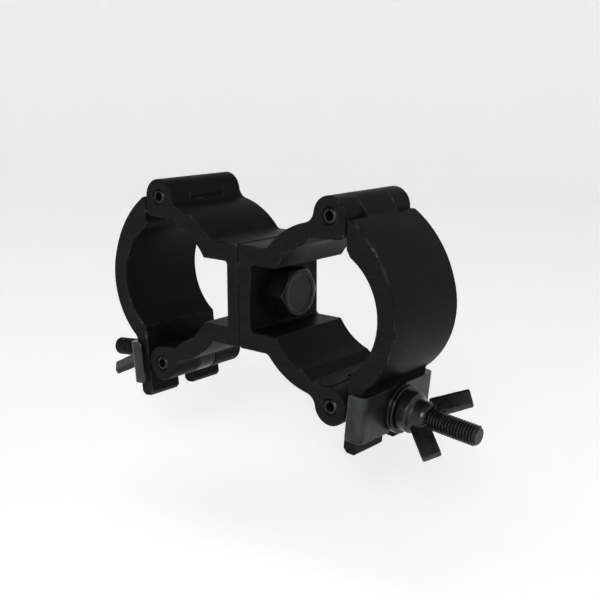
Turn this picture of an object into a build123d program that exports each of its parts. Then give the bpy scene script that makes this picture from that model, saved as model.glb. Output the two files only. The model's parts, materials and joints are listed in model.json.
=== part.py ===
"""Swivel pipe clamp: two half couplers bolted back to back, each closed by a swing bolt and a wing nut.

Frame: origin on the tube axis of the left half, at mid width. +Y runs along that tube, +X points
to the swivel and the right half, +Z is up, towards the strap hinges.
"""
import os
from math import atan2, cos, degrees, hypot, radians, sin, sqrt, tan

from build123d import *

# ---------------------------------------------------------------- driving dimensions, millimetres
bore_r = 25.5               # tube bore, for 48 to 51 mm tube
wall_r = 33.4               # outside of the ring around the bore
clamp_width = 42.0          # along the tube
tube_offset = 40.9          # from the swivel face to the tube axis
swivel_gap = 0.2            # between the two backs
web_thickness = 6.3         # back web that the swivel bolt passes through
block_half_height = 20.9    # the back block, above and below the swivel axis
back_chamfer = 0.9
recess_half_height = 13.4   # slot for the bolt head, open to the bore
recess_corner_r = 1.5
block_blend_r = 3.0
end_chamfer = 0.35

hinge_x, hinge_z = 3.84, 35.9     # hinge pin, outward and up from the tube axis
anchor_x, anchor_z = 4.77, 35.9   # eyebolt pin, outward and down from the tube axis
ear_r = 7.4
ear_blend_r = 5.0
hinge_slot = 20.2           # gap between the upper ears
anchor_slot = 10.6          # gap between the lower ears
ear_cut_r = 8.1             # clearance around the tongue and the eye
ear_cut_height = 17.8       # of the open end of that clearance
relief_x = -8.0             # where the bore opens out under the ears
hinge_relief_z, hinge_relief_knee = 27.5, (-5.5, 27.2)
anchor_relief_z, anchor_relief_knee = 28.3, (-4.0, -27.4)
ear_overlap = 1.0           # how far the filling under the lower ear runs into the ring
ear_corner_r = 3.0

pin_r, pin_bore_r = 3.0, 1.95
pin_length = 41.4
pin_slot = 0.9
pin_chamfer = 0.5
pin_countersink = 0.7
running_clearance = 0.05

strap_face_x = 11.75        # inner face of the strap, clear of the ears
shoulder_tip_x, shoulder_z = 13.4, 35.3
shoulder_mid = 24.7         # the shoulder's arc passes through this point, outward and up
strap_mouth = 1.8           # chamfer where the strap's bore ends
tongue_width = 19.4
tongue_back = 45.0          # where the tongue's back leaves its barrel, degrees above level
flange_tilt = 6.0           # degrees that the bolt and the flange's normal point down
flange_inner, flange_outer = 7.9, 14.5   # from the eyebolt pin, along the bolt
flange_drop = 15.2          # below the bolt's axis
flange_rise = 13.0          # where the flange runs up into the ring
flange_slot = 10.0
flange_slot_rise = 6.5      # closed end of the slot, above the bolt's axis
flange_corner = 1.6
flange_blend_z, flange_blend_r = 27.0, 2.0   # where the flange's outer face meets the ring
shoulder_corner_r = 0.6

plate_sheet = 2.3
plate_top, plate_bottom = 9.0, 9.2       # above and below the bolt's axis
plate_tab = 7.2             # depth of the side tabs, sheet included
plate_gap = 0.05            # between the plate and the flange
plate_bend_r = 2.6
plate_tab_corner = 1.5
plate_slot = 9.6

bolt_r = 4.0                # M8
bolt_length = 52.0          # from the centre of the eye
bolt_tip_chamfer = 0.9
eye_r, eye_width = 7.3, 10.0
eye_neck = 11.0
eye_neck_r = 4.6
washer_r, washer_hole_r = 9.5, 4.3
washer_thickness = 1.7
washer_chamfer = 0.25
washer_gap = 0.1

nut_base_r, nut_base_height, nut_base_step = 7.9, 4.5, 0.9
nut_hub_r, nut_hub_tip_r, nut_hub_height = 6.1, 5.3, 11.0
wing_thickness = 2.6
wing_root_z, wing_root_r = 8.1, 3.6      # where a wing leaves the hub, from the base of the nut
wing_width = 7.4
wing_tip_z, wing_tip_r = 20.3, 14.6      # middle of a wing's end
wing_corner_r = 1.1
wing_turn = {"left": -30.0, "right": 35.0}    # how far the wings are turned from level, degrees

swivel_r = 6.0              # M12
swivel_flats, swivel_head_height = 19.0, 7.9
hexagon_turn = {"left": 10.0, "right": 0.0}
hexagon_face = 0.98         # diameter of the bevelled face, as a share of the width across flats
hexagon_bevel = 30.0        # degrees
swivel_tip_chamfer = 0.8
swivel_face_gap = 0.15
swivel_washer_r, swivel_washer_thickness = 12.0, 2.0
swivel_nut_height = 5.9
swivel_tail = 0.2           # bolt end beyond the nut

past = 100.0                # longer than any section, for cuts that run right through
tolerance = 0.05            # for picking edges by their radius or place

half_width = clamp_width / 2
outward = {"left": -1, "right": 1}
tube_x = {"left": 0, "right": 2 * tube_offset}


# ---------------------------------------------------------------- frames of one half
def profile_plane(side):
    """Local x outward from the swivel, local y up, centred on the tube at mid width."""
    sign = outward[side]
    return Plane(origin=(tube_x[side], 0, 0), x_dir=(sign, 0, 0), z_dir=(0, -sign, 0))


def pin_plane(side, x, z):
    """Profile plane moved to a pin."""
    return Plane(origin=profile_plane(side).from_local_coords((x, z, 0)),
                 x_dir=(outward[side], 0, 0), z_dir=(0, -outward[side], 0))


def bolt_profile_plane(side):
    """Centred on the eyebolt pin, local x along the bolt, local y square to it and up."""
    tilt, sign = radians(flange_tilt), outward[side]
    return Plane(origin=profile_plane(side).from_local_coords((anchor_x, -anchor_z, 0)),
                 x_dir=(sign * cos(tilt), 0, -sin(tilt)), z_dir=(0, -sign, 0))


def bolt_section_plane(side, distance):
    """Square to the bolt at a distance from the pin, local x along the tube, local y up."""
    along = bolt_profile_plane(side)
    return Plane(origin=along.from_local_coords((distance, 0, 0)), x_dir=(0, outward[side], 0),
                 z_dir=along.x_dir)


def swivel_plane(side, distance):
    """Square to the swivel axis, at a distance from the swivel face, facing outward."""
    return Plane(origin=(tube_offset + outward[side] * distance, 0, 0), x_dir=(0, outward[side], 0),
                 z_dir=(outward[side], 0, 0))


def edge_at(part, side, x, z):
    """The edge along the tube's direction that lies nearest to a point of the profile."""
    point = profile_plane(side).from_local_coords((x, z, 0))
    return part.edges().filter_by(Axis.Y).sort_by_distance(point)[0]


def end_edges(part):
    """All edges around the two end faces."""
    ends = part.faces().filter_by(Axis.Y).sort_by(Axis.Y)
    return ends[0].edges() + ends[-1].edges()


def save(part, name):
    part.label = name
    export_step(part, f"parts/{name}.step")


# ---------------------------------------------------------------- pieces of one half
def make_saddle(side):
    """Extruded base: back web, recess, half of the bore, and two pairs of ears."""
    back_x = -tube_offset + swivel_gap / 2
    web_x = -tube_offset + web_thickness
    bore_end_z = sqrt(bore_r ** 2 - relief_x ** 2)
    block_end_x = -sqrt(wall_r ** 2 - block_half_height ** 2)
    pins = ((hinge_x, hinge_z, hinge_slot), (anchor_x, -anchor_z, anchor_slot))
    with BuildPart() as saddle:
        with BuildSketch(profile_plane(side)):
            Circle(wall_r)
            with Locations((hinge_x, 0)):
                Rectangle(past, past, align=(Align.MIN, Align.CENTER), mode=Mode.SUBTRACT)
            with Locations((hinge_x, hinge_z), (anchor_x, -anchor_z)):
                Circle(ear_r)
            with Locations((hinge_x - ear_r / 2, hinge_relief_z)):
                Rectangle(1.5 * ear_r, hinge_z - hinge_relief_z, align=(Align.MIN, Align.MIN))
            with Locations((hinge_x - ear_overlap, -anchor_z)):
                Rectangle(anchor_x - hinge_x + ear_overlap, ear_r, align=(Align.MIN, Align.MIN))
            with Locations((back_x, 0)):
                Rectangle(tube_offset, 2 * block_half_height, align=(Align.MIN, Align.CENTER))
            with BuildLine():
                Polyline((relief_x, 0), (relief_x, -bore_end_z), anchor_relief_knee,
                         (anchor_x, -anchor_relief_z), (past, -anchor_relief_z),
                         (past, hinge_relief_z), hinge_relief_knee, (relief_x, bore_end_z), close=True)
            make_face(mode=Mode.SUBTRACT)
            Circle(bore_r, mode=Mode.SUBTRACT)
            with Locations((web_x, 0)):
                Rectangle(tube_offset / 2, 2 * recess_half_height, align=(Align.MIN, Align.CENTER),
                          mode=Mode.SUBTRACT)
        extrude(amount=half_width, both=True)
        for x, z, _ in pins:
            fillet(edge_at(saddle, side, x - ear_r, wall_r if z > 0 else -wall_r), ear_blend_r)
        for z in (-1, 1):
            fillet(edge_at(saddle, side, block_end_x, z * block_half_height), block_blend_r)
            fillet(edge_at(saddle, side, web_x, z * recess_half_height), recess_corner_r)
            chamfer(edge_at(saddle, side, back_x, z * block_half_height), back_chamfer)
        fillet(edge_at(saddle, side, hinge_x + ear_r, hinge_relief_z), ear_corner_r)
        chamfer(end_edges(saddle), end_chamfer)
        for x, z, slot in pins:
            with BuildSketch(pin_plane(side, x, z)):
                Circle(ear_cut_r)
                with Locations((-hinge_x, 0)):
                    Rectangle(past, ear_cut_height, align=(Align.MIN, Align.CENTER))
            extrude(amount=slot / 2, both=True, mode=Mode.SUBTRACT)
            with BuildSketch(pin_plane(side, x, z)):
                Circle(pin_r + running_clearance)
            extrude(amount=half_width, both=True, mode=Mode.SUBTRACT)
        with BuildSketch(swivel_plane(side, 0)):
            Circle(swivel_r + running_clearance)
        extrude(amount=2 * web_thickness, mode=Mode.SUBTRACT)
        pin_mouths = saddle.edges().filter_by(GeomType.CIRCLE).filter_by(
            lambda edge: abs(edge.radius - pin_r - running_clearance) < tolerance
            and abs(abs(edge.center().Y) - half_width) < tolerance)
        chamfer(pin_mouths, pin_countersink)
    save(saddle.part, f"{side}_saddle")


def make_strap(side):
    """Hinged jaw: tongue, shoulder, the outer half of the ring, and the slotted flange."""
    tip = (shoulder_tip_x, shoulder_z)
    flange_height = flange_drop + flange_rise
    tongue_angle = radians(tongue_back)
    bore_edge_z = sqrt(bore_r ** 2 - strap_face_x ** 2)
    with BuildPart() as strap:
        with BuildSketch(profile_plane(side)):
            with BuildLine():
                ThreePointArc((wall_r, 0), (shoulder_mid, shoulder_mid), tip)
                Polyline(tip, (strap_face_x, shoulder_z), (strap_face_x, 0), (wall_r, 0))
            make_face()
            Circle(wall_r)
            with Locations((strap_face_x, 0)):
                Rectangle(past, past, align=(Align.MAX, Align.CENTER), mode=Mode.SUBTRACT)
        extrude(amount=half_width, both=True)
        with BuildSketch(bolt_profile_plane(side)) as flange:
            with Locations((flange_inner, -flange_drop)):
                Rectangle(flange_outer - flange_inner, flange_height, align=(Align.MIN, Align.MIN))
            chamfer(flange.vertices().group_by(Axis.Z)[0], flange_corner)
        extrude(amount=half_width, both=True)
        with BuildSketch(bolt_profile_plane(side)):
            with Locations((flange_inner, 0)):
                Rectangle(past, 2 * wall_r, align=(Align.MAX, Align.CENTER))
        extrude(amount=half_width, both=True, mode=Mode.SUBTRACT)
        with BuildSketch(profile_plane(side)):
            Circle(bore_r)
        extrude(amount=half_width, both=True, mode=Mode.SUBTRACT)
        chamfer(edge_at(strap, side, strap_face_x, bore_edge_z), strap_mouth)
        fillet(edge_at(strap, side, flange_outer + anchor_x, -flange_blend_z), flange_blend_r)
        fillet(edge_at(strap, side, *tip), shoulder_corner_r)
        chamfer(end_edges(strap), end_chamfer)
        with BuildSketch(profile_plane(side)):
            with Locations((hinge_x, hinge_z)):
                Circle(ear_r)
            with BuildLine():
                Polyline((hinge_x + ear_r * cos(tongue_angle), hinge_z + ear_r * sin(tongue_angle)), tip,
                         (shoulder_tip_x, shoulder_z - ear_r), (strap_face_x, bore_edge_z + strap_mouth),
                         (hinge_x, hinge_z - ear_r), close=True)
            make_face()
        extrude(amount=tongue_width / 2, both=True)
        with BuildSketch(pin_plane(side, hinge_x, hinge_z)):
            Circle(pin_r + running_clearance)
        extrude(amount=half_width, both=True, mode=Mode.SUBTRACT)
        extrude(bolt_slot(side, flange_slot), amount=2 * flange_outer, mode=Mode.SUBTRACT)
    save(strap.part, f"{side}_strap")


def bolt_slot(side, width):
    """Outline of the slot that the bolt swings out of, open at the bottom."""
    length = 2 * flange_drop
    with BuildSketch(bolt_section_plane(side, 0)) as slot:
        with Locations((0, flange_slot_rise - width / 2 - length / 2)):
            SlotCenterToCenter(length, width, rotation=90)
    return slot.sketch


def make_bearing_plate(side):
    """Bent sheet that wraps the flange's outer face and both its ends."""
    along = bolt_profile_plane(side)
    inner_face = flange_outer + plate_gap
    outer_face = inner_face + plate_sheet
    inner_width = clamp_width + 2 * plate_gap
    base = Plane(origin=along.from_local_coords((0, -plate_bottom, 0)), x_dir=(0, outward[side], 0),
                 z_dir=along.y_dir)
    with BuildPart() as plate:
        with BuildSketch(base):
            with Locations((0, -outer_face)):
                Rectangle(inner_width + 2 * plate_sheet, plate_tab, align=(Align.CENTER, Align.MIN))
            with Locations((0, -inner_face)):
                Rectangle(inner_width, plate_tab, align=(Align.CENTER, Align.MIN), mode=Mode.SUBTRACT)
        extrude(amount=plate_bottom + plate_top)
        bolt_axis = Axis(along.origin, along.x_dir)
        bends = plate.edges().filter_by(Axis(along.origin, along.y_dir)).sort_by(bolt_axis)[-2:]
        fillet(bends, plate_bend_r)
        tab_corners = plate.edges().filter_by(Axis.Y).sort_by(bolt_axis)[:4]
        fillet(tab_corners, plate_tab_corner)
        extrude(bolt_slot(side, plate_slot), amount=2 * flange_outer, mode=Mode.SUBTRACT)
    save(plate.part, f"{side}_bearing_plate")


def make_spring_pin(side, name, x, z):
    """Rolled, slotted spring pin across the clamp's width."""
    with BuildPart() as pin:
        with BuildSketch(pin_plane(side, x, z)):
            Circle(pin_r)
            Circle(pin_bore_r, mode=Mode.SUBTRACT)
        extrude(amount=pin_length / 2, both=True)
        circles = pin.edges().filter_by(GeomType.CIRCLE)
        chamfer(circles.filter_by(lambda edge: edge.radius > pin_bore_r + tolerance), pin_chamfer)
        with BuildSketch(pin_plane(side, x, z)):
            with Locations((0, pin_r)):
                Rectangle(pin_slot, 2 * pin_r - pin_bore_r)
        extrude(amount=pin_length, both=True, mode=Mode.SUBTRACT)
    save(pin.part, f"{side}_{name}")


def make_eyebolt(side):
    """Swing bolt: an eye on the lower pin, a short neck and the threaded shank."""
    with BuildPart() as bolt:
        with BuildSketch(bolt_profile_plane(side)):
            Circle(eye_r)
        extrude(amount=eye_width / 2, both=True)
        with BuildSketch(bolt_section_plane(side, 0)):
            Circle(eye_neck_r)
        extrude(amount=eye_neck)
        with BuildSketch(bolt_section_plane(side, 0)):
            Circle(bolt_r)
        extrude(amount=bolt_length)
        tip = bolt.edges().filter_by(GeomType.CIRCLE).sort_by(
            Axis(bolt_profile_plane(side).origin, bolt_profile_plane(side).x_dir))[-1]
        chamfer(tip, bolt_tip_chamfer)
        with BuildSketch(bolt_profile_plane(side)):
            Circle(pin_r + running_clearance)
        extrude(amount=eye_width, both=True, mode=Mode.SUBTRACT)
    save(bolt.part, f"{side}_eyebolt")


def make_washer(side, name, distance):
    """Flat washer on the swing bolt."""
    with BuildPart() as washer:
        with BuildSketch(bolt_section_plane(side, distance)):
            Circle(washer_r)
            Circle(washer_hole_r, mode=Mode.SUBTRACT)
        extrude(amount=washer_thickness)
        circles = washer.edges().filter_by(GeomType.CIRCLE)
        chamfer(circles.filter_by(lambda edge: edge.radius > washer_hole_r + tolerance), washer_chamfer)
    save(washer.part, f"{side}_{name}")


def make_wing_nut(side, distance):
    """Flanged hub with two flat wings that lean forward along the bolt."""
    section = bolt_section_plane(side, distance)
    turn = radians(wing_turn[side])
    radial = section.x_dir * cos(turn) + section.y_dir * sin(turn)
    wing_plane = Plane(origin=section.origin, x_dir=radial, z_dir=radial.cross(section.z_dir))
    lean = degrees(atan2(wing_tip_z - wing_root_z, wing_tip_r - wing_root_r))
    wing_length = hypot(wing_tip_z - wing_root_z, wing_tip_r - wing_root_r)
    wing_end_r = (nut_base_r + wing_tip_r) / 2
    with BuildPart() as nut:
        with BuildSketch(wing_plane):
            with BuildLine():
                Polyline((0, 0), (nut_base_r, 0), (nut_base_r, nut_base_height),
                         (nut_hub_r, nut_base_height + nut_base_step), (nut_hub_tip_r, nut_hub_height),
                         (0, nut_hub_height), close=True)
            make_face()
        revolve(axis=Axis(section.origin, section.z_dir))
        for mirrored in (1, -1):
            with BuildSketch(wing_plane):
                with Locations(Location((mirrored * wing_root_r, wing_root_z, 0),
                                        (0, 0, lean if mirrored > 0 else 180 - lean))):
                    Rectangle(wing_length, wing_width, align=(Align.MIN, Align.CENTER))
            extrude(amount=wing_thickness / 2, both=True)
        wing_ends = nut.edges().filter_by(Axis(section.origin, wing_plane.z_dir)).filter_by(
            lambda edge: (edge.center() - section.origin).cross(section.z_dir).length > wing_end_r)
        fillet(wing_ends, wing_corner_r)
        with BuildSketch(section):
            Circle(bolt_r + running_clearance)
        extrude(amount=2 * nut_hub_height, mode=Mode.SUBTRACT)
    save(nut.part, f"{side}_wing_nut")


# ---------------------------------------------------------------- the swivel
def hexagon(side, distance, height, bevelled_back):
    """Hexagon prism on the swivel axis, bevelled at its outward end and, if asked, at its back."""
    corner_r = swivel_flats / sqrt(3)
    face_r = swivel_flats / 2 * hexagon_face
    bevel = (corner_r - face_r) * tan(radians(hexagon_bevel))
    back_r = face_r if bevelled_back else corner_r
    along = Plane(origin=swivel_plane(side, distance).origin, x_dir=(outward[side], 0, 0),
                  z_dir=(0, -outward[side], 0))
    with BuildPart() as prism:
        with BuildSketch(swivel_plane(side, distance)):
            RegularPolygon(swivel_flats / 2, 6, major_radius=False, rotation=hexagon_turn[side])
        extrude(amount=height)
        with BuildSketch(along):
            with BuildLine():
                Polyline((0, 0), (0, back_r), (bevel, corner_r), (height - bevel, corner_r), (height, face_r),
                         (height, 0), close=True)
            make_face()
        revolve(axis=Axis(along.origin, along.x_dir), mode=Mode.INTERSECT)
    return prism.part


def make_swivel_bolt():
    """Hexagon head in the right half's recess, shank through both webs."""
    head_start = web_thickness + swivel_face_gap
    tail = web_thickness + swivel_washer_thickness + swivel_nut_height + swivel_tail
    head = hexagon("right", head_start, swivel_head_height, False)
    with BuildPart() as bolt:
        add(head)
        with BuildSketch(swivel_plane("right", -tail)):
            Circle(swivel_r)
        extrude(amount=tail + head_start)
        tip = bolt.edges().filter_by(GeomType.CIRCLE).sort_by(Axis.X)[0]
        chamfer(tip, swivel_tip_chamfer)
    save(bolt.part, "swivel_bolt")


def make_swivel_washer():
    """Flat washer against the left half's web."""
    with BuildPart() as washer:
        with BuildSketch(swivel_plane("left", web_thickness)):
            Circle(swivel_washer_r)
            Circle(swivel_r + running_clearance, mode=Mode.SUBTRACT)
        extrude(amount=swivel_washer_thickness)
        chamfer(washer.edges().filter_by(GeomType.CIRCLE).sort_by(SortBy.RADIUS)[-2:], washer_chamfer)
    save(washer.part, "swivel_washer")


def make_swivel_nut():
    """Thin lock nut on the washer, inside the left half's recess."""
    blank = hexagon("left", web_thickness + swivel_washer_thickness, swivel_nut_height, True)
    with BuildPart() as nut:
        add(blank)
        with BuildSketch(swivel_plane("left", web_thickness)):
            Circle(swivel_r + running_clearance)
        extrude(amount=2 * swivel_nut_height, mode=Mode.SUBTRACT)
    save(nut.part, "swivel_nut")


# ---------------------------------------------------------------- the assembly
inner_washer_at = flange_outer + plate_gap + plate_sheet + washer_gap
outer_washer_at = inner_washer_at + washer_thickness
wing_nut_at = outer_washer_at + washer_thickness + washer_gap

os.makedirs("parts", exist_ok=True)
for half in ("left", "right"):
    make_saddle(half)
    make_strap(half)
    make_bearing_plate(half)
    make_spring_pin(half, "hinge_pin", hinge_x, hinge_z)
    make_spring_pin(half, "eyebolt_pin", anchor_x, -anchor_z)
    make_eyebolt(half)
    make_washer(half, "inner_washer", inner_washer_at)
    make_washer(half, "outer_washer", outer_washer_at)
    make_wing_nut(half, wing_nut_at)
make_swivel_bolt()
make_swivel_washer()
make_swivel_nut()
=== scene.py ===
"""Looks of the swivel pipe clamp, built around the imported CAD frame. Metres, +Z up."""
import cmath
import json
import math

import bmesh
import bpy
from mathutils import Matrix, Vector


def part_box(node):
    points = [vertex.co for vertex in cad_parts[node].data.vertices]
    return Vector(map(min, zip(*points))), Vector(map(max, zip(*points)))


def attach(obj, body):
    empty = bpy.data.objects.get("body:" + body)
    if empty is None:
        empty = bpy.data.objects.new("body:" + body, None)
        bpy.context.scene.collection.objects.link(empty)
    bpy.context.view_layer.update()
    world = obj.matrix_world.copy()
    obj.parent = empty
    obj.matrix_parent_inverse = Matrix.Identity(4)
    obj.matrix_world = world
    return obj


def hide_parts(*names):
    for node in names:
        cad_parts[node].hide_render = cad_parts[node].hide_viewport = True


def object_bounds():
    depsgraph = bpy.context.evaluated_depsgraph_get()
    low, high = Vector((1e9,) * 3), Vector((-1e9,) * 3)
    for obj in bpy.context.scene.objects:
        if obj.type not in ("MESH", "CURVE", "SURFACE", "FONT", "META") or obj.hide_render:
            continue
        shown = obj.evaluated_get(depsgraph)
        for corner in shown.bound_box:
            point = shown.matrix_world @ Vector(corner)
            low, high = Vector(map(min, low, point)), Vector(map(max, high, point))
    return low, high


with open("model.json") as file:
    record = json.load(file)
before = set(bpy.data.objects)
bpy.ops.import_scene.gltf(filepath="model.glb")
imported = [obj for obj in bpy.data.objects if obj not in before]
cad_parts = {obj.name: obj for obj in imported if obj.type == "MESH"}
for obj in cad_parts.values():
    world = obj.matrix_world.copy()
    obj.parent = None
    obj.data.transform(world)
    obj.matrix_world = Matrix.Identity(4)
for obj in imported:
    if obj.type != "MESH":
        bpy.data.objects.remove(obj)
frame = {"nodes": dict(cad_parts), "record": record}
cad_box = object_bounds()

MM = 0.001
TINY = 1e-7
UP = Vector((0, 0, 1))
SIDES = ("left", "right")


# ---------------------------------------------------------------- facts read from the frame
def joint(name):
    return next(j for j in frame["record"]["behaviour"]["joints"] if j["name"] == name)


def bolt_axis(side):
    """Centre of the eye, and the direction that the swing bolt points in."""
    swing, travel = joint(f"{side}_bolt_swing"), joint(f"{side}_washer_travel")
    return Vector(swing["pos_m"]), Vector(travel["axis"]).normalized()


def axis_matrix(origin, direction):
    """Places local +Z along direction, with local +X as nearly upward as it can be."""
    z = direction.normalized()
    x = (UP - z * UP.dot(z)).normalized()
    turn = Matrix((x, z.cross(x), z)).transposed().to_4x4()
    return Matrix.Translation(origin) @ turn


def along_bolt(side, node):
    """Nearest and farthest reach of a CAD node along the swing bolt, from the centre of the eye."""
    origin, direction = bolt_axis(side)
    reach = [(v.co - origin).dot(direction) for v in frame["nodes"][node].data.vertices]
    return min(reach), max(reach)


def star_angle(node, place, folds, beyond):
    """Angle about local Z of the arms or corners of a node that repeats itself folds times in a turn."""
    total = 0
    for vertex in frame["nodes"][node].data.vertices:
        point = place.inverted() @ vertex.co
        radius, angle = cmath.polar(complex(point.x, point.y))
        if radius > beyond:
            total += cmath.rect(1.0, folds * angle)
    return cmath.phase(total) / folds


# ---------------------------------------------------------------- shader helpers
class Shader:
    """A material under construction, with short calls for the nodes that the finishes share."""

    def __init__(self, name):
        self.material = bpy.data.materials.new(name)
        self.material.use_nodes = True
        self.nodes = self.material.node_tree.nodes
        self.links = self.material.node_tree.links
        self.bsdf = self.nodes["Principled BSDF"]
        self.coords = self.nodes.new("ShaderNodeTexCoord")

    def plug(self, socket, value):
        """Links an output to a socket, or sets the socket to a number, colour or vector."""
        if isinstance(value, bpy.types.NodeSocket):
            self.links.new(value, socket)
        else:
            socket.default_value = value

    def set(self, **values):
        for name, value in values.items():
            self.plug(self.bsdf.inputs[name.replace("_", " ")], value)

    def node(self, kind, **inputs):
        made = self.nodes.new(kind)
        for name, value in inputs.items():
            self.plug(made.inputs[name.replace("_", " ")], value)
        return made

    def stretched(self, scale):
        """Object coordinates scaled unevenly, for streaks."""
        return self.node("ShaderNodeMapping", Vector=self.coords.outputs["Object"],
                         Scale=scale).outputs["Vector"]

    def noise(self, size, detail=3.0, roughness=0.5, vector=None):
        """Noise whose features are about size metres across."""
        return self.node("ShaderNodeTexNoise", Vector=vector or self.coords.outputs["Object"],
                         Scale=1.0 / size, Detail=detail, Roughness=roughness).outputs["Fac"]

    def math(self, operation, a, b=0.0):
        made = self.nodes.new("ShaderNodeMath")
        made.operation = operation
        self.plug(made.inputs[0], a)
        self.plug(made.inputs[1], b)
        return made.outputs[0]

    def times(self, *factors):
        product = factors[0]
        for factor in factors[1:]:
            product = self.math("MULTIPLY", product, factor)
        return product

    def spread(self, value, low, high, out_low=0.0, out_high=1.0):
        """Maps a value's low to high range onto another range, and clamps it."""
        made = self.node("ShaderNodeMapRange", Value=value, From_Min=low, From_Max=high, To_Min=out_low,
                         To_Max=out_high)
        return made.outputs["Result"]

    def mix(self, factor, first, second):
        """Mixes two colours or colour outputs."""
        made = self.nodes.new("ShaderNodeMix")
        made.data_type = "RGBA"
        self.links.new(factor, made.inputs["Factor"])
        for socket, value in zip((s for s in made.inputs if s.type == "RGBA"), (first, second)):
            self.plug(socket, (*value, 1.0) if isinstance(value, tuple) else value)
        return next(s for s in made.outputs if s.type == "RGBA")

    def along(self, axis):
        """How far the surface's normal lies along an object axis: -1 to 1."""
        return self.node("ShaderNodeSeparateXYZ", Vector=self.coords.outputs["Normal"]).outputs[axis]

    def edges(self, radius):
        """1 on sharp edges and corners, 0 on open surface."""
        bevel = self.node("ShaderNodeBevel", Radius=radius)
        bevel.samples = 6
        dot = self.nodes.new("ShaderNodeVectorMath")
        dot.operation = "DOT_PRODUCT"
        self.links.new(bevel.outputs["Normal"], dot.inputs[0])
        self.links.new(self.nodes.new("ShaderNodeNewGeometry").outputs["Normal"], dot.inputs[1])
        return self.spread(dot.outputs["Value"], 0.99, 0.86)

    def bump(self, rounding, *layers):
        """Rounds the edges, then stacks height layers, each a height output with its depth in metres."""
        normal = self.node("ShaderNodeBevel", Radius=rounding).outputs["Normal"]
        for height, depth in layers:
            layer = self.node("ShaderNodeBump", Height=height, Distance=depth, Normal=normal)
            normal = layer.outputs["Normal"]
        self.set(Normal=normal)


# ---------------------------------------------------------------- finishes
BARE_ALUMINIUM = (0.30, 0.31, 0.32)
BARE_STEEL = (0.26, 0.25, 0.24)
COAT = (0.0019, 0.0022, 0.0021), (0.0040, 0.0045, 0.0043)
COAT_ON_CUT_ENDS = (0.0040, 0.0045, 0.0043), (0.0075, 0.0083, 0.0079)
OXIDE = (0.012, 0.012, 0.013), (0.024, 0.022, 0.021)
ENAMEL = (0.0040, 0.0038, 0.0038), (0.0085, 0.0078, 0.0078)
GREY_NYLON = (0.16, 0.165, 0.16), (0.24, 0.245, 0.235)
PLATE_ZINC = (0.017, 0.018, 0.018), (0.046, 0.049, 0.047)
WASHER_ZINC = (0.010, 0.010, 0.010), (0.022, 0.023, 0.023)
SPRING_STEEL = (0.012, 0.012, 0.013), (0.030, 0.030, 0.031)
SWIVEL_STEEL = (0.010, 0.010, 0.011), (0.021, 0.022, 0.022)

# Streaks, as features per metre along x, y and z: few of them along the way that the streak runs.
DRAWN_ALONG_Y = (900, 14, 900)
SAWN_ACROSS_Z = (160, 160, 1500)
ROLLED_ALONG_Z = (200, 900, 30)
ROLLED_ALONG_Y = (300, 20, 300)


def coated_aluminium(name, wear):
    """Satin black coat on an aluminium extrusion: drawn lines along the tube, sawn ends, worn edges."""
    s = Shader(name)
    grain = s.noise(0.35 * MM, 4.0, 0.6)
    patches = s.noise(14 * MM, 4.0, 0.6)
    drawn = s.noise(1.0, 3.0, 0.6, s.stretched(DRAWN_ALONG_Y))
    sawn = s.noise(1.0, 2.0, 0.5, s.stretched(SAWN_ACROSS_Z))
    ends = s.spread(s.math("ABSOLUTE", s.along("Y")), 0.9, 0.97)
    coat = s.mix(s.spread(patches, 0.35, 0.7), *COAT)
    cut = s.mix(s.spread(sawn, 0.3, 0.7), *COAT_ON_CUT_ENDS)
    coat = s.mix(ends, coat, cut)
    chips = s.spread(s.noise(2.2 * MM, 5.0, 0.7), 0.57, 0.66)
    rubbed_edge = s.times(s.edges(0.45 * MM), s.spread(s.noise(7 * MM, 4.0, 0.6), 0.48, 0.66), 0.6)
    worn = s.times(s.math("MAXIMUM", rubbed_edge, s.times(s.edges(0.9 * MM), chips)), wear)
    bare = s.math("MAXIMUM", worn, s.spread(drawn, 0.64, 0.8, 0.0, 0.02))
    s.set(Base_Color=s.mix(bare, coat, BARE_ALUMINIUM), Metallic=s.times(bare, 0.9))
    roughness = s.math("ADD", s.spread(patches, 0.3, 0.7, 0.40, 0.52), s.times(ends, 0.05))
    s.set(Roughness=s.math("SUBTRACT", roughness, s.times(bare, 0.12)), Specular_IOR_Level=0.05)
    lines = s.times(s.math("SUBTRACT", 1.0, ends), drawn)
    s.bump(0.25 * MM, (grain, 0.012 * MM), (lines, 0.03 * MM), (s.times(ends, sawn), 0.03 * MM),
           (patches, 0.10 * MM))
    return s.material


def plated_steel(name, tones, roughness, streak):
    """Dark plated steel with rolling streaks, faint stains and bright edges."""
    s = Shader(name)
    stains = s.noise(5 * MM, 5.0, 0.62)
    streaks = s.noise(1.0, 3.0, 0.6, s.stretched(streak))
    tone = s.math("ADD", s.times(stains, 0.6), s.times(streaks, 0.4))
    rubbed = s.times(s.edges(0.5 * MM), s.spread(s.noise(3 * MM, 4.0), 0.4, 0.65, 0.04, 0.5))
    s.set(Base_Color=s.mix(rubbed, s.mix(s.spread(tone, 0.35, 0.65), *tones), BARE_STEEL))
    rough = s.spread(stains, 0.3, 0.7, roughness - 0.06, roughness + 0.08)
    s.set(Metallic=0.85, Specular_IOR_Level=0.3,
          Roughness=s.math("SUBTRACT", rough, s.times(rubbed, 0.1)))
    s.bump(0.3 * MM, (streaks, 0.012 * MM), (s.noise(0.4 * MM, 3.0), 0.008 * MM), (stains, 0.06 * MM))
    return s.material


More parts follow.
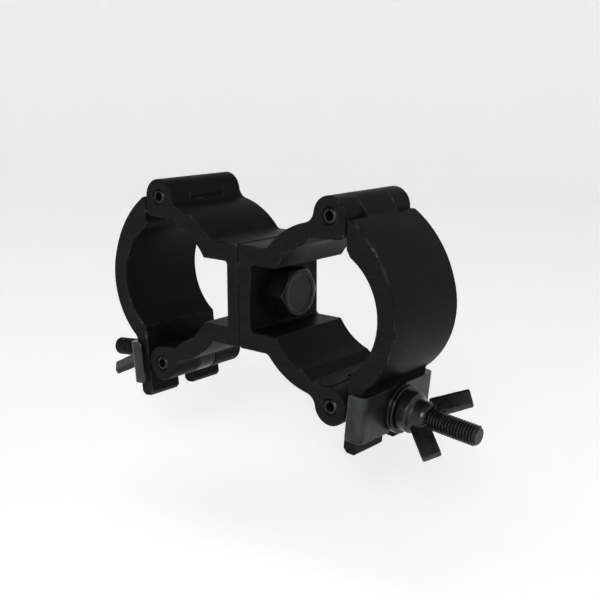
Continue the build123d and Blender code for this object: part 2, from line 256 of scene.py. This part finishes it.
def black_oxide(name):
    """Oiled black oxide on machined steel: near black, with brown in the hollows and bright crests."""
    s = Shader(name)
    stains = s.noise(3 * MM, 5.0, 0.6)
    rubbed = s.times(s.edges(0.22 * MM), s.spread(s.noise(1.6 * MM, 4.0), 0.35, 0.65, 0.12, 0.6))
    base = s.mix(s.spread(stains, 0.4, 0.65), *OXIDE)
    s.set(Base_Color=s.mix(rubbed, base, BARE_STEEL), Metallic=0.85,
          Roughness=s.spread(stains, 0.3, 0.7, 0.24, 0.38), Specular_IOR_Level=0.3)
    s.bump(0.1 * MM, (s.noise(0.25 * MM, 3.0), 0.006 * MM))
    return s.material


def enamelled_casting(name):
    """Glossy black coat on a die casting: soft ripples, pinholes and chipped edges."""
    s = Shader(name)
    tone = s.noise(6 * MM, 4.0, 0.6)
    base = s.mix(s.spread(tone, 0.35, 0.7), *ENAMEL)
    chips = s.times(s.edges(0.5 * MM), s.spread(s.noise(1.2 * MM, 5.0, 0.7), 0.58, 0.66), 0.5)
    s.set(Base_Color=s.mix(chips, base, BARE_STEEL), Roughness=s.spread(tone, 0.3, 0.7, 0.22, 0.34),
          Specular_IOR_Level=0.35)
    s.bump(0.2 * MM, (s.noise(1.5 * MM), 0.05 * MM), (s.noise(0.3 * MM), 0.008 * MM))
    return s.material


def nylon(name):
    """Locking ring of dull grey nylon."""
    s = Shader(name)
    tone = s.noise(2 * MM)
    s.set(Base_Color=s.mix(tone, *GREY_NYLON),
          Roughness=s.spread(tone, 0.3, 0.7, 0.42, 0.55))
    s.bump(0.1 * MM, (s.noise(0.5 * MM), 0.02 * MM))
    return s.material


# Keyed by the kind of CAD node, then by the extra kinds that the modelled pieces have.
FINISHES = {
    "saddle": coated_aluminium("coated_saddle", wear=0.35),
    "strap": coated_aluminium("coated_strap", wear=0.6),
    "bearing_plate": plated_steel("plate_zinc", PLATE_ZINC, 0.34, ROLLED_ALONG_Z),
    "inner_washer": plated_steel("washer_zinc", WASHER_ZINC, 0.3, (500, 500, 500)),
    "hinge_pin": plated_steel("spring_steel", SPRING_STEEL, 0.34, ROLLED_ALONG_Y),
    "swivel": plated_steel("swivel_steel", SWIVEL_STEEL, 0.36, (300, 300, 300)),
    "bolt": black_oxide("bolt_oxide"),
    "wing_nut": enamelled_casting("wing_nut_enamel"),
    "nylon": nylon("nylon_insert"),
}
FINISHES["outer_washer"] = FINISHES["inner_washer"]
FINISHES["eyebolt_pin"] = FINISHES["hinge_pin"]
FINISHES["eyebolt"] = FINISHES["bolt"]


def paint(thing, finish, sharp=32.0):
    """Gives a piece or a CAD node one finish, shaded smooth except over edges sharper than an angle."""
    mesh = thing.data
    mesh.materials.clear()
    mesh.materials.append(FINISHES[finish])
    for polygon in mesh.polygons:
        polygon.use_smooth = True
    mesh.set_sharp_from_angle(angle=math.radians(sharp))


# ---------------------------------------------------------------- mesh helpers
def new_piece(name, maker):
    """Makes a piece from a function that fills a bmesh in the piece's own frame."""
    bm = bmesh.new()
    maker(bm)
    bmesh.ops.recalc_face_normals(bm, faces=bm.faces)
    mesh = bpy.data.meshes.new(name)
    bm.to_mesh(mesh)
    bm.free()
    piece = bpy.data.objects.new(name, mesh)
    bpy.context.scene.collection.objects.link(piece)
    return piece


def modified(piece, kind, **settings):
    """Runs one modifier on a piece and bakes it into the mesh."""
    modifier = piece.modifiers.new(kind.lower(), kind)
    for name, value in settings.items():
        setattr(modifier, name, value)
    depsgraph = bpy.context.evaluated_depsgraph_get()
    depsgraph.update()
    mesh = bpy.data.meshes.new_from_object(piece.evaluated_get(depsgraph))
    piece.modifiers.clear()
    piece.data = mesh


def combined(piece, operation, other):
    """Joins, cuts or intersects a piece with another one, which it uses up."""
    modified(piece, "BOOLEAN", object=other, operation=operation, solver="EXACT")
    bpy.data.objects.remove(other)


def cast(piece, voxel, rounding, keep):
    """Fuses overlapping shells into one skin with rounded joins, as a casting or a forging has."""
    modified(piece, "REMESH", mode="VOXEL", voxel_size=voxel)
    modified(piece, "SMOOTH", factor=0.5, iterations=rounding)
    modified(piece, "DECIMATE", ratio=keep)


def install(piece, place, body, slot, finish, *replaced):
    """Puts a finished piece in place on its body, in the place of CAD nodes."""
    piece.data.transform(place)
    paint(piece, finish)
    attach(piece, body)
    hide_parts(*replaced)


def lathe(bm, outline, steps=96):
    """Turns (radius, height) points about local Z: a solid if they start on the axis, else a ring."""
    rings = []
    for radius, height in outline:
        turns = [math.tau * i / steps for i in range(1 if radius < TINY else steps)]
        rings.append([bm.verts.new((radius * math.cos(a), radius * math.sin(a), height)) for a in turns])
    closing = [] if outline[0][0] < TINY else [(rings[-1], rings[0])]
    for ring, following in list(zip(rings, rings[1:])) + closing:
        for i in range(steps):
            j = (i + 1) % steps
            corners = (ring[i % len(ring)], ring[j % len(ring)], following[j % len(following)],
                       following[i % len(following)])
            bm.faces.new(tuple(dict.fromkeys(corners)))


def in_metres(outline):
    return [(radius * MM, height * MM) for radius, height in outline]


def rod(name, radius, low, high):
    return new_piece(name, lambda bm: lathe(bm, [(0, low), (radius, low), (radius, high), (0, high)]))


LONGEST_CUT = 0.45    # share of an outline's edge that one rounded corner may take up


def rounded(points, radius, steps=5):
    """An outline with its corners rounded off, except those on the axis."""
    outline = []
    for i, point in enumerate(points):
        here = Vector(point)
        if abs(here.x) < TINY:
            outline.append(tuple(here))
            continue
        to_before, to_after = Vector(points[i - 1]) - here, Vector(points[(i + 1) % len(points)]) - here
        cut = min(radius, to_before.length * LONGEST_CUT, to_after.length * LONGEST_CUT)
        start, end = here + to_before.normalized() * cut, here + to_after.normalized() * cut
        for k in range(steps + 1):
            t = k / steps
            outline.append(tuple(start * (1 - t) ** 2 + here * 2 * t * (1 - t) + end * t * t))
    return outline


def slab(bm, outline, lift):
    """Closed slab on a flat outline: lift turns a point of it and a side of -1 or 1 into a position."""
    layers = [[bm.verts.new(lift(point, side)) for point in outline] for side in (-1, 1)]
    for layer in layers:
        bm.faces.new(layer)
    for i in range(len(outline)):
        j = (i + 1) % len(outline)
        bm.faces.new((layers[0][i], layers[0][j], layers[1][j], layers[1][i]))


THREAD_DEPTH = 0.6134                                                   # in pitches
THREAD_PROFILE = ((0.0, 0.0), (0.125, 0.0), (0.40, 1.0), (0.72, 1.0))    # in pitches and in depths
RUN_OUT = 1.5                                                           # in pitches


def helical_thread(bm, major, pitch, start, stop, tip_chamfer, segments=64):
    """Real helical thread about local Z, with a run-out at its start and a chamfered tip."""
    depth = THREAD_DEPTH * pitch
    run_out_length = RUN_OUT * pitch
    rows = []
    for turn in range(-1, int((stop - start) / pitch) + 2):
        for share, sink in THREAD_PROFILE:
            row = []
            for i in range(segments + 1):
                z = start + (turn + share + i / segments) * pitch
                run_out = min(max((z - start) / run_out_length, 0.0), 1.0)
                radius = min(major - depth * sink * run_out, major - tip_chamfer + max(stop - z, 0.0))
                angle = math.tau * i / segments
                row.append(bm.verts.new((radius * math.cos(angle), radius * math.sin(angle),
                                         min(max(z, start), stop))))
            rows.append(row)
    for row, following in zip(rows, rows[1:]):
        for i in range(segments):
            bm.faces.new((row[i], row[i + 1], following[i + 1], following[i]))
    bmesh.ops.remove_doubles(bm, verts=bm.verts, dist=TINY)
    bmesh.ops.dissolve_degenerate(bm, edges=bm.edges, dist=TINY)
    bmesh.ops.holes_fill(bm, edges=[e for e in bm.edges if e.is_boundary], sides=0)


# ---------------------------------------------------------------- swing bolt and wing nut
BOLT_R, BOLT_PITCH = 4.0 * MM, 1.25 * MM
BOLT_TIP_CHAMFER = 0.95 * MM
EYE_R, EYE_BORE_R, EYE_HALF_WIDTH = 7.3 * MM, 3.2 * MM, 5.0 * MM
EYE_ROUNDING, NECK_ROUNDING = 0.9 * MM, 0.5 * MM
NECK_R, NECK_START, NECK_TAPER, NECK_END = 4.6 * MM, 3.7 * MM, 1.2 * MM, 11.0 * MM
NUT_BORE_R = 4.05 * MM
HUB = [(3.3, 0), (7.9, 0), (7.9, 4.3), (7.3, 4.7), (6.2, 5.4), (6.0, 9.6), (5.1, 11.0), (3.3, 11.0)]
HUB_ROUNDING, WING_ROUNDING = 0.5 * MM, 0.9 * MM
WING_ROOT = Vector((4.4, 8.6)) * MM     # from the axis, and from the nut's base
WING_TIP = Vector((14.6, 20.3)) * MM
WING_HALF_WIDTH = 3.7 * MM
WING_HALF_THICKNESS, WING_THINNING = 1.65, 0.45    # mm at the root, and mm less at the tip
ONLY_WINGS_BEYOND = 11 * MM                        # from the axis


def swing_bolt(side):
    """Forged eye and neck, fused and rounded, with a rolled thread out to the tip."""
    origin, direction = bolt_axis(side)
    _, tip = along_bolt(side, f"{side}_eyebolt")
    eye = rounded([(EYE_BORE_R, -EYE_HALF_WIDTH), (EYE_R, -EYE_HALF_WIDTH), (EYE_R, EYE_HALF_WIDTH),
                   (EYE_BORE_R, EYE_HALF_WIDTH)], EYE_ROUNDING)
    neck = rounded([(0, NECK_START), (NECK_R, NECK_START), (NECK_R, NECK_END - NECK_TAPER),
                    (BOLT_R, NECK_END), (0, NECK_END)], NECK_ROUNDING)

    def forging(bm):
        lathe(bm, eye)
        bmesh.ops.rotate(bm, verts=bm.verts, matrix=Matrix.Rotation(math.radians(90), 3, "X"))
        lathe(bm, neck)
    piece = new_piece(f"{side}_swing_bolt", forging)
    cast(piece, voxel=0.3 * MM, rounding=4, keep=0.5)
    thread_start = NECK_END - 2 * BOLT_PITCH
    thread = new_piece("thread", lambda bm: helical_thread(
        bm, BOLT_R, BOLT_PITCH, thread_start, tip, BOLT_TIP_CHAMFER))
    combined(piece, "UNION", thread)
    install(piece, axis_matrix(origin, direction), f"{side}_swing_bolt", "bolt_steel", "bolt",
            f"{side}_eyebolt")


def wing(bm, sign):
    """One flat wing that leaves the hub and leans forward, thinner towards its square end."""
    along = WING_TIP - WING_ROOT
    across = along.orthogonal().normalized() * WING_HALF_WIDTH
    outline = rounded([tuple(WING_ROOT - across), tuple(WING_TIP - across), tuple(WING_TIP + across),
                       tuple(WING_ROOT + across)], WING_ROUNDING)

    def lift(point, side):
        share = (Vector(point) - WING_ROOT).dot(along) / along.length_squared
        return sign * point[0], side * (WING_HALF_THICKNESS - WING_THINNING * share) * MM, point[1]
    slab(bm, outline, lift)


def wing_nut(side):
    """Cast hub with a flanged base and two wings, all blended, then bored for the bolt."""
    node = f"{side}_wing_nut"
    origin, direction = bolt_axis(side)
    base, _ = along_bolt(side, node)
    place = axis_matrix(origin + direction * base, direction)
    place = place @ Matrix.Rotation(star_angle(node, place, 2, ONLY_WINGS_BEYOND), 4, "Z")

    def casting(bm):
        lathe(bm, rounded(in_metres(HUB), HUB_ROUNDING))
        wing(bm, 1)
        wing(bm, -1)
    piece = new_piece(f"{side}_cast_wing_nut", casting)
    cast(piece, voxel=0.22 * MM, rounding=4, keep=0.4)
    combined(piece, "DIFFERENCE", rod("bore", NUT_BORE_R, -5 * MM, 20 * MM))
    install(piece, place, f"{side}_nut", "wing_nut_black", "wing_nut", node)


# ---------------------------------------------------------------- swivel bolt and its lock nut
FLATS = 19.0 * MM
ONLY_CORNERS_BEYOND = 0.54 * FLATS     # from the axis: a flat is at 0.50 and a corner at 0.58
CORNER_ROUNDING, BARREL_ROUNDING = 0.5 * MM, 0.3 * MM
SWIVEL_R, SWIVEL_PITCH = 6.0 * MM, 1.75 * MM
SWIVEL_TIP_CHAMFER = 0.9 * MM
SWIVEL_THREAD = 10 * MM
SHANK_START, SHANK_IN_HEAD = 9 * MM, 1 * MM    # inside the thread's end, and past the head's seat
CLEARANCE = 0.05 * MM
HEAD_HEIGHT = 7.9 * MM
COLLAR_HEIGHT, NYLON_DEPTH = 1.6, 0.9    # mm


def turned(name, outline, rounding):
    """Finely turned piece on an outline in millimetres."""
    return new_piece(name, lambda bm: lathe(bm, rounded(in_metres(outline), rounding), steps=144))


def hexagon(name, height, barrel):
    """Hexagon with softened corners, turned down to a barrel outline in millimetres."""
    corner_r = FLATS / math.sqrt(3)
    turns = [math.tau * i / 6 for i in range(6)]
    corners = [(corner_r * math.cos(a), corner_r * math.sin(a)) for a in turns]
    outline = rounded(corners, CORNER_ROUNDING)

    def lift(point, side):
        return (*point, height if side > 0 else 0.0)
    piece = new_piece(name, lambda bm: slab(bm, outline, lift))
    combined(piece, "INTERSECT", turned("barrel", barrel, BARREL_ROUNDING))
    return piece


def swivel_bolt():
    """Hexagon head with a turned face, and the shank with its thread towards the tail."""
    low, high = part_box("swivel_bolt")
    under_head = high.x - HEAD_HEIGHT
    place = axis_matrix(Vector((under_head, 0, 0)), Vector((1, 0, 0)))
    place = place @ Matrix.Rotation(star_angle("swivel_bolt", place, 6, ONLY_CORNERS_BEYOND), 4, "Z")
    head = HEAD_HEIGHT / MM
    barrel = [(0, -1), (12, -1), (12, head - 1.6), (9.3, head), (7.5, head), (7.1, head - 0.3),
              (0, head - 0.3)]
    piece = hexagon("swivel_bolt_forging", HEAD_HEIGHT, barrel)
    tail = low.x - under_head
    combined(piece, "UNION", rod("shank", SWIVEL_R - CLEARANCE, tail + SHANK_START, SHANK_IN_HEAD))
    thread = new_piece("thread", lambda bm: helical_thread(
        bm, SWIVEL_R, SWIVEL_PITCH, -tail - SWIVEL_THREAD, -tail, SWIVEL_TIP_CHAMFER))
    thread.data.transform(Matrix.Rotation(math.pi, 4, "X"))
    combined(piece, "UNION", thread)
    install(piece, place, "left_clamp", "swivel_steel", "swivel", "swivel_bolt")


def lock_nut():
    """Thin hexagon nut with a crimped collar, and the nylon ring held in it."""
    low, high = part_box("swivel_nut")
    place = axis_matrix(Vector((high.x, 0, 0)), Vector((-1, 0, 0)))
    place = place @ Matrix.Rotation(star_angle("swivel_nut", place, 6, ONLY_CORNERS_BEYOND), 4, "Z")
    height = (high.x - low.x) / MM
    top = height - COLLAR_HEIGHT
    seat = height - NYLON_DEPTH
    barrel = [(0, 0), (9.3, 0), (11, 1), (11, top - 1.0), (9.3, top), (0, top)]
    piece = hexagon("swivel_lock_nut", top * MM, barrel)
    collar = [(5.5, 2), (8.3, 2), (8.3, height - 0.8), (7.6, height), (6.9, height), (6.9, seat),
              (5.5, seat)]
    combined(piece, "UNION", turned("collar", collar, 0.2 * MM))
    combined(piece, "DIFFERENCE", rod("bore", SWIVEL_R + CLEARANCE, -1 * MM, 2 * height * MM))
    install(piece, place, "left_clamp", "swivel_steel", "swivel", "swivel_nut")
    ring = [(6.07, seat + 0.02), (6.88, seat + 0.02), (6.88, height - 0.2), (6.07, height - 0.2)]
    insert = new_piece("nylon_ring", lambda bm: lathe(bm, rounded(in_metres(ring), 0.15 * MM)))
    install(insert, place, "left_clamp", "swivel_steel", "nylon")


# ---------------------------------------------------------------- the object
for node, item in frame["nodes"].items():
    kind = node.split("_", 1)[1] if node.split("_")[0] in SIDES else "swivel"
    paint(item, kind)
for side in SIDES:
    swing_bolt(side)
    wing_nut(side)
swivel_bolt()
lock_nut()


# ---------------------------------------------------------------- floor, light and camera
FLOOR_FLAT_R, FLOOR_CURVE_R, FLOOR_WALL = 1.6, 0.9, 1.2
FLOOR_CURVE_STEPS = 12
BOLT_SWEEP_ROOM = 0.058    # below the part at rest, for a wing nut on a bolt that hangs right down
WHITE = (1.0, 1.0, 1.0, 1.0)
PAPER = (0.86, 0.86, 0.86), (0.88, 0.88, 0.88)
FLOOR_GLOW, WORLD_STRENGTH = 0.31, 0.15

# name: azimuth and elevation in degrees, distance and side in metres, power in watts
SOFTBOXES = {
    "top_light": (-30, 70, 1.5, 1.6, 6),
    "side_light": (100, 30, 1.2, 0.8, 0.9),
    "front_light": (34, 24, 1.1, 0.45, 4.0),
    "flash": (36, 22, 0.6, 0.08, 0.7),
}
CAMERA_AZIMUTH, CAMERA_ELEVATION = 39.47, 12.77
CAMERA_LENS = 59.94
CAMERA_FROM_SWIVEL = Vector((262.9, -302.1, 85.7)) * MM


def sweep():
    """Pale paper floor that curves up all round into a low wall."""
    outline = [(0.0, 0.0), (FLOOR_FLAT_R, 0.0)]
    for k in range(1, FLOOR_CURVE_STEPS + 1):
        turn = math.radians(90 * k / FLOOR_CURVE_STEPS)
        outline.append((FLOOR_FLAT_R + FLOOR_CURVE_R * math.sin(turn),
                        FLOOR_CURVE_R * (1 - math.cos(turn))))
    outline.append((FLOOR_FLAT_R + FLOOR_CURVE_R, FLOOR_CURVE_R + FLOOR_WALL))
    bm = bmesh.new()
    lathe(bm, outline)
    mesh = bpy.data.meshes.new("studio_floor")
    bm.to_mesh(mesh)
    bm.free()
    mesh.transform(Matrix.Translation((0, 0, cad_box[0].z - BOLT_SWEEP_ROOM)))
    floor = bpy.data.objects.new("studio_floor", mesh)
    bpy.context.scene.collection.objects.link(floor)
    s = Shader("studio_paper")
    s.set(Base_Color=s.mix(s.noise(0.4), *PAPER), Roughness=0.9, Specular_IOR_Level=0.1,
          Emission_Color=WHITE, Emission_Strength=FLOOR_GLOW)
    mesh.materials.append(s.material)
    for polygon in mesh.polygons:
        polygon.use_smooth = True


def softbox(name, azimuth, elevation, distance, size, power):
    """Square area light aimed at the middle of the clamp."""
    centre = (cad_box[0] + cad_box[1]) / 2
    a, e = math.radians(azimuth), math.radians(elevation)
    away = Vector((math.sin(a) * math.cos(e), -math.cos(a) * math.cos(e), math.sin(e)))
    data = bpy.data.lights.new(name, "AREA")
    data.shape = "SQUARE"
    data.size = size
    data.energy = power
    light = bpy.data.objects.new(name, data)
    light.location = centre + away * distance
    light.rotation_mode = "QUATERNION"
    light.rotation_quaternion = (-away).to_track_quat("-Z", "Y")
    bpy.context.scene.collection.objects.link(light)


def camera():
    """Stands in front and to the right, a little above, and looks past the swivel."""
    azimuth, elevation = math.radians(CAMERA_AZIMUTH), math.radians(CAMERA_ELEVATION)
    data = bpy.data.cameras.new("camera")
    data.lens = CAMERA_LENS
    data.sensor_width = 36.0
    cam = bpy.data.objects.new("camera", data)
    cam.location = Vector(joint("swivel")["pos_m"]) + CAMERA_FROM_SWIVEL
    forward = Vector((-math.sin(azimuth) * math.cos(elevation),
                      math.cos(azimuth) * math.cos(elevation), -math.sin(elevation)))
    cam.rotation_mode = "QUATERNION"
    cam.rotation_quaternion = forward.to_track_quat("-Z", "Y")
    bpy.context.scene.collection.objects.link(cam)
    bpy.context.scene.camera = cam


def world_light():
    world = bpy.data.worlds.new("studio")
    world.use_nodes = True
    background = world.node_tree.nodes["Background"]
    background.inputs["Color"].default_value = WHITE
    background.inputs["Strength"].default_value = WORLD_STRENGTH
    bpy.context.scene.world = world


sweep()
for light_name, setting in SOFTBOXES.items():
    softbox(light_name, *setting)
world_light()
camera()
bpy.context.scene.view_settings.view_transform = "Standard"
